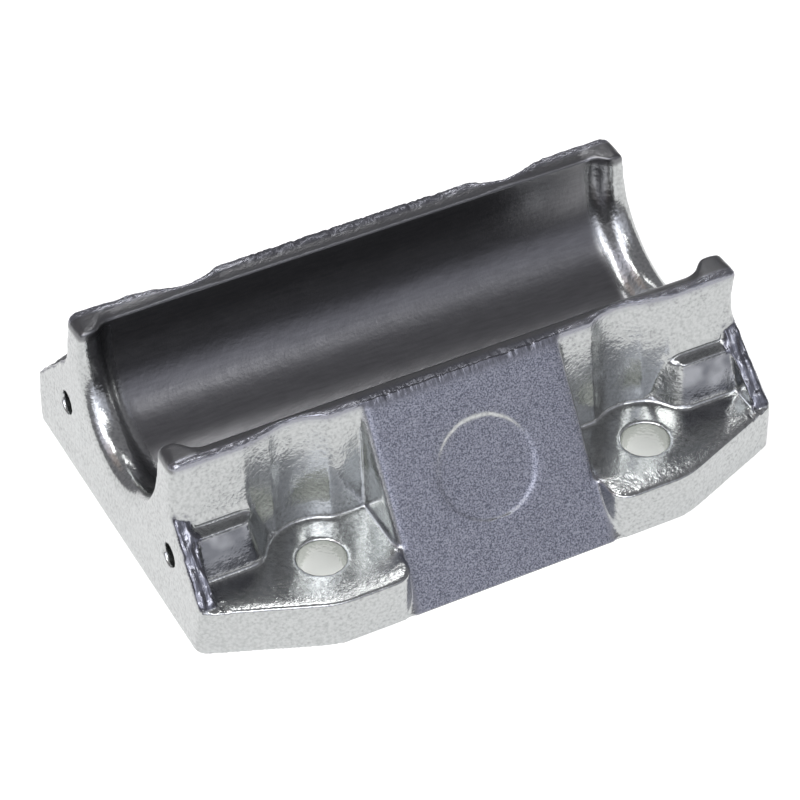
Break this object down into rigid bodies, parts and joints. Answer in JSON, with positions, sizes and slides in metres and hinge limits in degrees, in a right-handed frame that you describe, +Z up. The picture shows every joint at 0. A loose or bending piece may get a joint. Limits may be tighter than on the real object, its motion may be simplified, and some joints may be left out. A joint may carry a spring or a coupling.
{
  "type": "elevator guide shoe",
  "caption": "Cast guide shoe housing with an open half-round channel for a sliding insert, end lips, sloped middle block and bolt flanges on a flat foot.",
  "frame": {"origin": "middle of the flat foot, on the surface that it is bolted to", "axes": "+X along the channel, which is the way the rail runs; +Z up from the foot to the open top of the channel; the blank round recess is on the -Y side"},
  "size_m": [0.1424, 0.1096, 0.0405],
  "materials": {
    "cast_metal": "as-cast, satin with bright edges"
  },
  "bodies": {
    "root": {"shoe_body": "cast_metal"}
  },
  "joints": []
}
